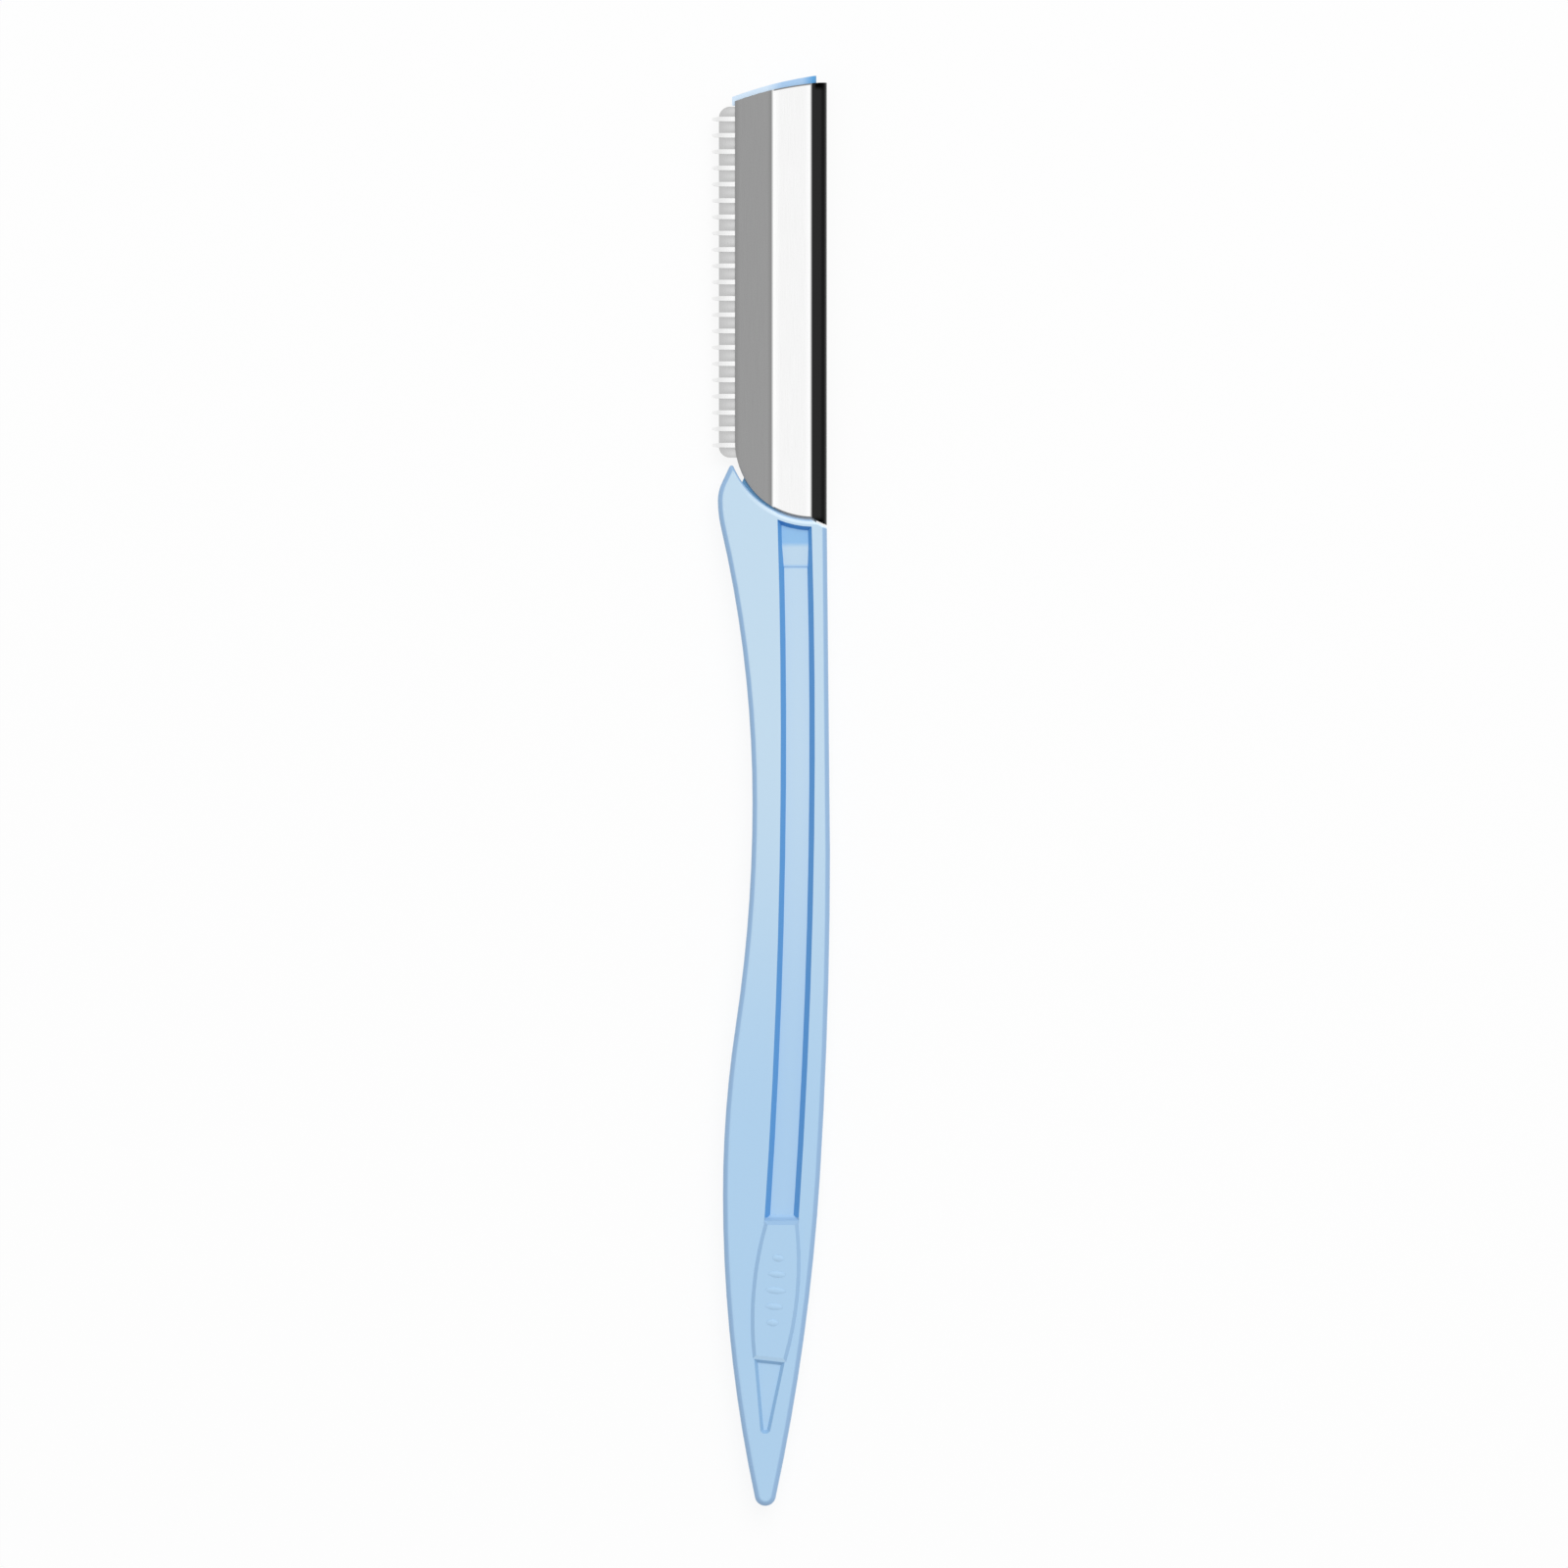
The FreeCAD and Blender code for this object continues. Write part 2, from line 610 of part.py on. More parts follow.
# Guard
def build_guard():
    guard = new_body("edge_guard")
    half = "blade_thick / 2"
    section = draw(guard, "XZ_Plane", "guard_section", [
        ("rail_x", "lip_half"),
        ("nose_x", "lip_half", "lip_half", LEFT),
        ("reach_x", "0", "lip_half", LEFT),
        ("nose_x", "0 - lip_half"),
        ("rail_x", "0 - lip_half"),
        ("rail_x", f"0 - {half}"),
        ("nose_x", f"0 - {half}", half, RIGHT),
        (f"nose_x - {half}", "0", half, RIGHT),
        ("nose_x", half),
        ("rail_x", half),
    ], height="0 - guard_low - 2 * guard_half")
    extrude("Pad", section, "folded_foil", "2 * guard_half", "One side")
    slot = draw(guard, "XY_Plane", "slot_outline", [
        ("reach_x - overrun", "guard_low - mouth_half"),
        ("reach_x", "guard_low - mouth_half"),
        ("blade_x", "guard_low - slot_half"),
        ("front_x + slot_cover", "guard_low - slot_half"),
        ("front_x + slot_cover", "guard_low + slot_half"),
        ("blade_x", "guard_low + slot_half"),
        ("reach_x", "guard_low + mouth_half"),
        ("reach_x - overrun", "guard_low + mouth_half"),
    ])
    slot = extrude("Pocket", slot, "slot", "2 * overrun")
    slots = guard.newObject("PartDesign::LinearPattern", "slots")
    slots.Originals = [slot]
    slots.Direction = (origin_plane(guard, "Y_Axis"), [""])
    slots.Mode = "Spacing"
    slots.setExpression("Offset", linked("bar_pitch"))
    slots.setExpression("Occurrences", linked("bar_gaps + 2"))
    guard.Tip = slots
    doc.recompute()
    return guard


pieces = [build_handle(), build_carrier(), build_cover(), build_blade(), build_guard()]
doc.recompute()

for item in doc.Objects:
    if "Invalid" in item.State or "Error" in item.State:
        raise RuntimeError(f"{item.Name} did not build: {item.State}")
os.makedirs("parts", exist_ok=True)
for piece in pieces:
    shape = piece.Shape
    if shape.isNull() or not shape.isValid() or len(shape.Solids) != 1:
        raise RuntimeError(f"{piece.Label} is not one sound solid")
    shape.exportStep(f"parts/{piece.Label}.step")
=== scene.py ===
"""Finish, light and camera for the eyebrow razor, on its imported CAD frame."""

import math

import bmesh
import bpy
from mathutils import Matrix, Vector


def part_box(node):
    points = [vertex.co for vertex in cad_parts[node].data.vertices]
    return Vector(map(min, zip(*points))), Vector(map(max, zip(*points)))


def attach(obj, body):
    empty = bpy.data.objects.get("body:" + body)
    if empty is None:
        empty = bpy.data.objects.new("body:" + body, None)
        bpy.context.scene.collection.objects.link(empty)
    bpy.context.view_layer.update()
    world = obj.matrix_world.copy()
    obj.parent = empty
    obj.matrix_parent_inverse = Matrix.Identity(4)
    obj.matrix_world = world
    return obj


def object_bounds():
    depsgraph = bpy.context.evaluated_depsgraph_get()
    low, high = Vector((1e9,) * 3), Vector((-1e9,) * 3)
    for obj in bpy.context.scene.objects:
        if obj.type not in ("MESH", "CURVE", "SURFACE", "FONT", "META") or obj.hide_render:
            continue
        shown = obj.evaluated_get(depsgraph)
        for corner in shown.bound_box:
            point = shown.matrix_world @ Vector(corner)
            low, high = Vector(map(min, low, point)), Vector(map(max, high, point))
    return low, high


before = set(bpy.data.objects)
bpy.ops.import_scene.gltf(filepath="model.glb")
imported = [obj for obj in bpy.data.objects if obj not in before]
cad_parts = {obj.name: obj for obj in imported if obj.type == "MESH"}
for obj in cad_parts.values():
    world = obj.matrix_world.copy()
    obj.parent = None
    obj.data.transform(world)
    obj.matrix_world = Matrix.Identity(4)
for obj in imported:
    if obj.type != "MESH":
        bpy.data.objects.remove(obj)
cad_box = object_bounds()

# Places from the frame, in metres
MM = 0.001
handle_low, handle_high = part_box("handle")
cover_low, cover_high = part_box("blade_cover")
carrier_low, carrier_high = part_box("blade_carrier")
blade_low, blade_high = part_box("blade")
guard_low, guard_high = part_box("edge_guard")
spine_x = cover_high.x
toe_y = handle_low.y
head_y = cover_low.y
middle_z = (cover_low.z + cover_high.z) / 2

# Sizes of the CAD features that the finishes follow, in metres; the slant is a rise per length
TOP_SLANT = 0.2
TOP_RADIUS = 39 * MM
CREASE_INSET = 5.93 * MM
CHANNEL_INSET = 3.5 * MM
CHANNEL_FOOT_INSET = 4.92 * MM
CHANNEL_RADIUS = 772 * MM
CHANNEL_WIDTH = 3.7 * MM
SEAT_INSET = 1.44 * MM
SEAT_RISE = 9.94 * MM
SEAT_RADIUS = 9.4 * MM
RAMP_DROP = 4.52 * MM
RAMP_LENGTH = 2.4 * MM
PAD_RISE = 30.9 * MM
PAD_LENGTH = 15.1 * MM
PAD_LEAN = 1.3 * MM
PAD_HEIGHT = 0.25 * MM
RECESS_LENGTH = 7.9 * MM
RECESS_WIDTH = 3.3 * MM
RECESS_TIP = 1.06 * MM
BAR_PITCH = 1.767 * MM
BAR_WIDTH = 0.5 * MM

# Grip bars on the thumb pad, in metres
GRIP_LENGTHS = (1.3 * MM, 1.9 * MM, 2.2 * MM, 1.9 * MM, 1.3 * MM)
GRIP_PITCH = 1.75 * MM
GRIP_WIDTH = 0.75 * MM
GRIP_HEIGHT = 0.12 * MM
GRIP_SUNK = 0.03 * MM
GRIP_CORNERS = 32
GRIP_RINGS = 6

# Borders: a pair holds the two places between which one tone gives way to the next, in metres
SOFT = 0.1 * MM
FINE = 0.02 * MM
FADE_ABOVE_TOE = (39.4 * MM, 85.4 * MM)
FLOOR_ABOVE_FACE = (-0.3 * MM, -0.5 * MM)
# Borders of the painted shade on the channel's shelf and at the ramp's foot
SHELF_PAST_RAMP = (-0.4 * MM, 0.3 * MM)
STEP_FROM_RAMP = (0.3 * MM, 0.05 * MM)
# Borders of the painted highlight along the seat's edge and along the lap
HIGHLIGHT_STARTS_PAST_SEAT = (0.05 * MM, 0.2 * MM)
HIGHLIGHT_ENDS_PAST_SEAT = (0.6 * MM, 0.4 * MM)
HIGHLIGHT_ABOVE_FACE = (-0.3 * MM, -0.1 * MM)
HIGHLIGHT_FULL_INSET = 4.05 * MM
LAP_INSET = (2.05 * MM, 1.05 * MM)
LAP_PAST_SEAT = (1.15 * MM, 1.0 * MM)
RAMP_ABOVE_PAD = (2 * MM, 1 * MM)
# Border of the painted shade line across the pad's top end
PAD_SHADE_LINE = (0.45 * MM, 0.2 * MM)
RECESS_SPARE = 0.4 * MM
RECESS_ABOVE_PAD_FOOT = 0.2 * MM
LEDGE_ABOVE_HEAD = 10 * MM
CROWN_BELOW_TOP = 5 * MM
PALE_CROWN_INSET = 6.45 * MM
CROWN_INSET = (4.85 * MM, 2.65 * MM)
DEEP_CROWN_INSET = 1.55 * MM
LEDGE_INSET = (6.05 * MM, 4.05 * MM)
LEAF_SHADE = 0.5 * MM
CREASE_GLINT = (0.15 * MM, 0.9 * MM)
FOLD_GLINT = (0.9 * MM, 0.35 * MM)
SPINE_SHADE = (0.75 * MM, 0.35 * MM)
# Borders of the painted shade line along the cover's cut ends
CUT_PAST_SEAT = (-0.42 * MM, -0.3 * MM)
CUT_PAST_TOP = (-0.2 * MM, -0.1 * MM)
CUT_BELOW_SEAT_CENTRE = 1 * MM
CUT_ENDS = 0.3 * MM
SPINE_END_START = 0.4 * MM
SPINE_END_LENGTH = (1.0 * MM, 0.4 * MM)

# Tilts: a pair holds the two parts of the surface normal between which a tone changes
# The first two tilts set where the painted shade of the rounded edges starts and eases
RIM_UPRIGHT = (0.997, 0.92)
SIDE_UPRIGHT = (0.55, 0.25)
TO_HEAD = (0.2, 0.55)
TO_TOE = (-0.2, -0.45)
LAP_TO_HEAD = (0.0, 0.05)

# Grain of the plastics and the steels
NOISE_SPAN = (0.2, 0.8)
MOULD_GRAIN = (0.22 * MM, 0.22 * MM, 0.22 * MM)
MOULD_DEPTH = 0.01 * MM
MOULD_RELIEF = 0.25
MOULD_ROUGHNESS = (0.36, 0.5)
BRUSH_GRAIN = (0.04 * MM, 4 * MM, 0.04 * MM)
BRUSH_DETAIL = 4.0
BRUSH_RELIEF = 0.2
BRUSH_SPAN = (0.25, 0.75)
BRUSH_SHADE = (0.97, 1.03)
BRUSH_SPREAD = 0.06

# Where the razor lies in the photo, in its own pixels, and the lens in millimetres
PHOTO_SIDE = 1600
RAZOR_ROWS = 1461
RAZOR_MIDDLE = (786.75, 806.85)
LENS = 200.0
SENSOR = 36.0

# Light: what falls on a level face adds up to about one
SKY_STRENGTH = 0.58
KEY_SHARE = 0.5
KEY_SIDE = 1.2
KEY_PLACE = Vector((0.25, 0.75, 1.3))
FLOOR_SIDE = 8.0
FLOOR_WHITE = 0.9
FLOOR_GLOW = 0.88

# Blue plastic, as 0-255 sRGB
FACE_HEAD = (193, 218, 237)
FACE_TOE = (173, 207, 236)
# Painted shade on the rounded edges; on the steepest sides it eases to the lighter SIDE tone
RIM_SHADE = (148, 183, 219)
SIDE = (172, 204, 236)
# Painted highlight along the seat's edge and the lap
SEAT_HIGHLIGHT = (222, 241, 255)
# Painted shade on the pad's edges, and painted light on its toe-facing slope against the lamp's shade
PAD_EDGE_SHADE = (153, 189, 223)
PAD_FOOT_LIGHT = (188, 221, 248)
# Painted shade on the walls of the recess below the pad
RECESS_WALL_SHADE = (148, 188, 224)
# Painted shade on the channel's side walls, deepest on its end wall under the head
WALL_SHADE = (94, 158, 218)
END_WALL_SHADE = (62, 132, 204)
# Painted shade on the channel's shelf under the head, and a painted shade line at the ramp's foot
SHELF_SHADE = (145, 192, 233)
STEP_SHADE = (166, 203, 237)
# Painted light and shade across the carrier's crown, pale on its slope and deeper blue towards the spine
CROWN_LIGHT = (214, 234, 253)
CROWN_MID_SHADE = (168, 203, 239)
CROWN_SHADE = (91, 163, 220)
# Painted shade on the carrier's ledge under the cover, greyer under the bright band
LEDGE_SHADE = (110, 160, 195)
LEDGE_GREY_SHADE = (176, 187, 199)

# Steel, as 0-255 sRGB greys
# Painted reflections on the cover: a grey leaf, a white flat band and a black spine
LEAF_REFLECTION = 153
# Painted shade along the leaf's edges
LEAF_EDGE_SHADE = 140
BAND_REFLECTION = 246
# Painted glint along the band's edges
BAND_EDGE_GLINT = 255
SPINE_REFLECTION = 43
# Painted shade along the spine's outer side
SPINE_EDGE_SHADE = 14
# Painted shade at the spine's two ends
SPINE_END_SHADE = 6
# Painted shade line along the band's cut ends, next to the handle and the crown
CUT_EDGE_SHADE = 135
BLADE = 216
# Darker towards the blade's edge, and the painted shade beside the guard's bars
BLADE_EDGE_AND_BAR_SHADE = 194
BAR = 252
BAR_EDGE = 233
BAR_TIP = 243


def colour(red, green, blue):
    """A colour written as 0-255 sRGB, as the linear colour that a node takes."""
    def linear(level):
        share = level / 255
        if share <= 0.04045:
            return share / 12.92
        return ((share + 0.055) / 1.055) ** 2.4
    return (linear(red), linear(green), linear(blue), 1.0)


def grey(level):
    """A grey written as a 0-255 sRGB level, as a linear colour."""
    return colour(level, level, level)


class Finish:
    """A node material, with short calls that add nodes to it."""

    def __init__(self, name):
        self.material = bpy.data.materials.new(name)
        self.material.use_nodes = True
        self.tree = self.material.node_tree
        self.shader = self.tree.nodes["Principled BSDF"]
        self.texture_place = self.tree.nodes.new("ShaderNodeTexCoord")
        self.place = self.texture_place.outputs["Object"]
        self.x, self.y, self.z = self.split(self.place)
        self.normal = self.split(self.texture_place.outputs["Normal"])

    def put(self, socket, value):
        """Links a node's output to the socket, or sets the socket to a constant."""
        if isinstance(value, bpy.types.NodeSocket):
            self.tree.links.new(value, socket)
        else:
            socket.default_value = value

    def set(self, name, value):
        """Sets or links an input of the shader."""
        self.put(self.shader.inputs[name], value)

    def split(self, vector):
        """The three parts of a vector."""
        node = self.tree.nodes.new("ShaderNodeSeparateXYZ")
        self.put(node.inputs[0], vector)
        return node.outputs[0], node.outputs[1], node.outputs[2]

    def maths(self, operation, first, second=0.0, third=0.0):
        """The result of a Math node."""
        node = self.tree.nodes.new("ShaderNodeMath")
        node.operation = operation
        for socket, value in zip(node.inputs, (first, second, third)):
            self.put(socket, value)
        return node.outputs[0]

    def less(self, first, second):
        """The first value less the second."""
        return self.maths("SUBTRACT", first, second)

    def away(self, value, place):
        """How far a value is from a place, on either side."""
        return self.maths("ABSOLUTE", self.less(value, place))

    def both(self, *shares):
        """The product of shares from 0 to 1."""
        result = shares[0]
        for share in shares[1:]:
            result = self.maths("MULTIPLY", result, share)
        return result

    def rise(self, value, start, end, low=0.0, high=1.0):
        """Goes softly from low to high while the value goes from start to end."""
        node = self.tree.nodes.new("ShaderNodeMapRange")
        node.interpolation_type = "SMOOTHSTEP"
        parts = {"Value": value, "From Min": start, "From Max": end, "To Min": low, "To Max": high}
        for name, part in parts.items():
            self.put(node.inputs[name], part)
        return node.outputs["Result"]

    def steepness(self, start, end):
        """0 on level faces and 1 on steep ones. Start and end are the upright part of the normal."""
        return self.rise(self.maths("ABSOLUTE", self.normal[2]), start, end)

    def mix(self, share, first, second):
        """A colour between two colours."""
        node = self.tree.nodes.new("ShaderNodeMix")
        node.data_type = "RGBA"
        for name, part in (("Factor_Float", share), ("A_Color", first), ("B_Color", second)):
            socket = next(s for s in node.inputs if s.identifier == name)
            self.put(socket, part)
        return next(s for s in node.outputs if s.identifier == "Result_Color")

    def bands(self, value, stops):
        """A colour by place: stops are (place, colour) in rising order."""
        start, end = stops[0][0], stops[-1][0]
        share = self.tree.nodes.new("ShaderNodeMapRange")
        for name, part in (("Value", value), ("From Min", start), ("From Max", end)):
            self.put(share.inputs[name], part)
        ramp = self.tree.nodes.new("ShaderNodeValToRGB")
        self.put(ramp.inputs[0], share.outputs["Result"])
        steps = ramp.color_ramp.elements
        while len(steps) < len(stops):
            steps.new(1.0)
        for step, (place, shade) in zip(steps, stops):
            step.position = (place - start) / (end - start)
            step.color = shade
        return ramp.outputs["Color"]

    def noise(self, grain, detail=2.0):
        """Noise from 0 to 1, whose grain has the given size along X, Y and Z."""
        stretch = self.tree.nodes.new("ShaderNodeVectorMath")
        stretch.operation = "DIVIDE"
        self.put(stretch.inputs[0], self.place)
        self.put(stretch.inputs[1], grain)
        node = self.tree.nodes.new("ShaderNodeTexNoise")
        self.put(node.inputs["Vector"], stretch.outputs[0])
        self.put(node.inputs["Scale"], 1.0)
        self.put(node.inputs["Detail"], detail)
        return node.outputs["Fac"]

    def bump(self, height, depth, strength):
        """Gives the surface a relief of that depth."""
        node = self.tree.nodes.new("ShaderNodeBump")
        self.put(node.inputs["Height"], height)
        self.put(node.inputs["Distance"], depth)
        self.put(node.inputs["Strength"], strength)
        self.set("Normal", node.outputs["Normal"])

    def paint(self, node_name):
        """Gives this finish to a CAD node."""
        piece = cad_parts[node_name]
        for slot in piece.material_slots:
            slot.material = self.material


def arc_centre(start, end, radius):
    """Centre of the arc from start to end that has the given radius and lies to the left of its chord."""
    chord = end - start
    middle = (start + end) / 2
    left = Vector((-chord.y, chord.x, 0)).normalized()
    return middle + left * math.sqrt(radius ** 2 - (chord.length / 2) ** 2)


# The cover's curved top, the channel's middle line, the thumb pad's axis and the curved seat
top_front = Vector((cover_low.x, cover_high.y - (spine_x - cover_low.x) * TOP_SLANT, 0))
top_back = Vector((spine_x, cover_high.y, 0))
top_centre = arc_centre(top_back, top_front, TOP_RADIUS)
channel_top = Vector((spine_x - CHANNEL_INSET, head_y, 0))
pad_top = Vector((spine_x - CHANNEL_FOOT_INSET, toe_y + PAD_RISE, 0))
pad_foot = pad_top + Vector((-PAD_LEAN, -PAD_LENGTH, 0))
channel_centre = arc_centre(pad_top, channel_top, CHANNEL_RADIUS)
seat_centre = Vector((spine_x - SEAT_INSET, head_y + SEAT_RISE, 0))


def from_arc(finish, centre, radius):
    """Distance outwards from an arc, seen from above."""
    flat = finish.tree.nodes.new("ShaderNodeVectorMath")
    flat.operation = "MULTIPLY"
    finish.put(flat.inputs[0], finish.place)
    finish.put(flat.inputs[1], (1.0, 1.0, 0.0))
    distance = finish.tree.nodes.new("ShaderNodeVectorMath")
    distance.operation = "DISTANCE"
    finish.put(distance.inputs[0], flat.outputs[0])
    finish.put(distance.inputs[1], centre)
    return finish.less(distance.outputs["Value"], radius)


# Plastics
def moulded(finish, base):
    """Satin plastic of that base colour, with the fine texture of a mould."""
    mould = finish.noise(MOULD_GRAIN)
    finish.set("Base Color", base)
    finish.set("Roughness", finish.rise(mould, *NOISE_SPAN, *MOULD_ROUGHNESS))
    finish.bump(mould, MOULD_DEPTH, MOULD_RELIEF)


def along_channel(finish):
    """1 within the channel's width, along the whole of its middle line, 0 elsewhere."""
    reach = CHANNEL_WIDTH / 2
    aside = finish.maths("ABSOLUTE", from_arc(finish, channel_centre, CHANNEL_RADIUS))
    return finish.rise(aside, reach + SOFT, reach)


def in_recess(finish):
    """1 inside the recess below the thumb pad and on its walls, 0 elsewhere."""
    low = pad_foot.y - RECESS_LENGTH
    high = pad_foot.y + RECESS_ABOVE_PAD_FOOT
    widening = (RECESS_WIDTH - RECESS_TIP) / 2 / RECESS_LENGTH
    above_tip = finish.less(finish.y, low)
    reach = finish.maths("MULTIPLY_ADD", above_tip, widening, RECESS_TIP / 2 + RECESS_SPARE)
    aside = finish.away(finish.x, pad_foot.x - RECESS_SPARE / 2)
    return finish.both(
        finish.rise(finish.less(aside, reach), SOFT / 2, -SOFT / 2),
        finish.rise(above_tip, -RECESS_SPARE, 0.0),
        finish.rise(finish.y, high + SOFT, high),
    )


def seat_highlight(finish, past_seat, above_face):
    """1 on the painted highlight along the seat's edge, which fades out towards the horn."""
    return finish.both(
        finish.rise(past_seat, *HIGHLIGHT_STARTS_PAST_SEAT),
        finish.rise(past_seat, *HIGHLIGHT_ENDS_PAST_SEAT),
        finish.rise(finish.x, carrier_low.x, spine_x - HIGHLIGHT_FULL_INSET),
        finish.rise(above_face, *HIGHLIGHT_ABOVE_FACE),
    )


def lap_highlight(finish, past_seat):
    """1 on the painted highlight on the rounded edge of the lap beside the spine."""
    return finish.both(
        finish.rise(finish.normal[1], *LAP_TO_HEAD),
        finish.rise(finish.less(spine_x, finish.x), *LAP_INSET),
        finish.rise(past_seat, *LAP_PAST_SEAT),
    )


def handle_face(finish, floor, on_highlight):
    """Colour of the level faces: paler towards the head, with painted shade on the channel's step and
    shelf, and the painted highlight along the seat.
    """
    ramp_foot = head_y - RAMP_DROP
    ramp_top = ramp_foot + RAMP_LENGTH
    along = finish.rise(finish.less(finish.y, toe_y), *FADE_ABOVE_TOE)
    face = finish.mix(along, colour(*FACE_TOE), colour(*FACE_HEAD))
    # Painted shade on the shelf and at the ramp's foot
    shelf = finish.rise(finish.less(finish.y, ramp_top), *SHELF_PAST_RAMP)
    face = finish.mix(finish.both(floor, shelf), face, colour(*SHELF_SHADE))
    step = finish.rise(finish.away(finish.y, ramp_foot), *STEP_FROM_RAMP)
    face = finish.mix(finish.both(floor, step), face, colour(*STEP_SHADE))
    # Painted highlight along the seat's edge
    return finish.mix(on_highlight, face, colour(*SEAT_HIGHLIGHT))


def handle_edge_shading(finish, above_face, on_highlight, to_toe):
    """Painted shade on the rounded edges, on the recess's walls and on the pad's edges, with the painted
    highlight along the seat and painted light on the pad's toe-facing slope.
    """
    # Painted shade on the rounded edges, lighter on the steepest sides
    rim_shade = finish.mix(finish.steepness(*SIDE_UPRIGHT), colour(*RIM_SHADE), colour(*SIDE))
    # Painted shade on the walls of the recess below the pad
    rim_shade = finish.mix(in_recess(finish), rim_shade, colour(*RECESS_WALL_SHADE))
    # Painted highlight on the seat's rounded edge and the lap
    rim_shade = finish.mix(on_highlight, rim_shade, colour(*SEAT_HIGHLIGHT))
    # Painted shade on the pad's edges, painted light on its toe-facing slope
    pad = finish.mix(to_toe, colour(*PAD_EDGE_SHADE), colour(*PAD_FOOT_LIGHT))
    return finish.mix(finish.rise(above_face, 0.0, FINE), rim_shade, pad)


def handle_plastic():
    """Blue moulding: paler towards the head, with painted shade deeper on its rounded edges and deepest
    on the channel's walls, and a painted highlight along the seat.
    """
    finish = Finish("handle_plastic_finish")
    above_face = finish.less(finish.away(finish.z, middle_z), middle_z)
    past_seat = from_arc(finish, seat_centre, SEAT_RADIUS)
    to_head = finish.rise(finish.normal[1], *TO_HEAD)
    to_toe = finish.rise(finish.normal[1], *TO_TOE)
    beside = along_channel(finish)
    channel = finish.both(beside, finish.rise(finish.y, pad_top.y - SOFT, pad_top.y))
    floor = finish.both(channel, finish.rise(above_face, *FLOOR_ABOVE_FACE))

    # Painted highlight along the seat's edge and the lap
    on_seat_highlight = seat_highlight(finish, past_seat, above_face)
    on_highlight = finish.maths("MAXIMUM", on_seat_highlight, lap_highlight(finish, past_seat))
    face = handle_face(finish, floor, on_seat_highlight)
    rim_shade = handle_edge_shading(finish, above_face, on_highlight, to_toe)
    # The channel's foot wall keeps the face's colour, without painted shade
    near_pad = finish.rise(finish.less(finish.y, pad_top.y), *RAMP_ABOVE_PAD)
    rim_shade = finish.mix(finish.both(channel, to_head, near_pad), rim_shade, face)

    on_pad = finish.rise(above_face, PAD_HEIGHT, PAD_HEIGHT + FINE)
    steep = finish.both(finish.steepness(*RIM_UPRIGHT), finish.less(1.0, on_pad))
    # Painted shade on the channel's walls, deepest on the end wall that faces the toe
    wall_shade = finish.both(channel, steep, finish.less(1.0, to_head))
    # Painted shade line across the pad's top end
    pad_shade_line = finish.both(beside, finish.rise(finish.away(finish.y, pad_top.y), *PAD_SHADE_LINE))
    # Painted shade on steep faces, except on the grip bars
    base = finish.mix(steep, face, rim_shade)
    base = finish.mix(wall_shade, base, finish.mix(to_toe, colour(*WALL_SHADE), colour(*END_WALL_SHADE)))
    moulded(finish, finish.mix(pad_shade_line, base, colour(*PAD_EDGE_SHADE)))
    return finish


def carrier_plastic():
    """The core: painted light and shade across its crown, pale to deep blue, and painted shade on the
    ledge under the cover.
    """
    finish = Finish("carrier_plastic_finish")
    # Painted light and shade across the crown, following its facets
    crown = finish.bands(finish.x, [
        (carrier_low.x, colour(*CROWN_LIGHT)),
        (spine_x - PALE_CROWN_INSET, colour(*CROWN_LIGHT)),
        (spine_x - CROWN_INSET[0], colour(*CROWN_MID_SHADE)),
        (spine_x - CROWN_INSET[1], colour(*CROWN_MID_SHADE)),
        (spine_x - DEEP_CROWN_INSET, colour(*CROWN_SHADE)),
        (carrier_high.x, colour(*CROWN_SHADE)),
    ])
    # Painted shade on the ledge under the cover, greyer under the bright band
    ledge = finish.bands(finish.x, [
        (carrier_low.x, colour(*LEDGE_SHADE)),
        (spine_x - LEDGE_INSET[0], colour(*LEDGE_SHADE)),
        (spine_x - LEDGE_INSET[1], colour(*LEDGE_GREY_SHADE)),
        (carrier_high.x, colour(*LEDGE_GREY_SHADE)),
    ])
    up = finish.rise(finish.y, head_y + LEDGE_ABOVE_HEAD, carrier_high.y - CROWN_BELOW_TOP)
    moulded(finish, finish.mix(up, ledge, crown))
    return finish


# Steels
def brushed(finish, base, roughness, depth):
    """Steel of that base colour, with a fine grain drawn along the razor."""
    grain = finish.noise(BRUSH_GRAIN, BRUSH_DETAIL)
    shaded = finish.tree.nodes.new("ShaderNodeVectorMath")
    shaded.operation = "SCALE"
    finish.put(shaded.inputs[0], base)
    finish.put(shaded.inputs["Scale"], finish.rise(grain, *BRUSH_SPAN, *BRUSH_SHADE))
    finish.set("Base Color", shaded.outputs[0])
    finish.set("Metallic", 1.0)
    low, high = roughness - BRUSH_SPREAD, roughness + BRUSH_SPREAD
    finish.set("Roughness", finish.rise(grain, *NOISE_SPAN, low, high))
    finish.bump(grain, depth, BRUSH_RELIEF)


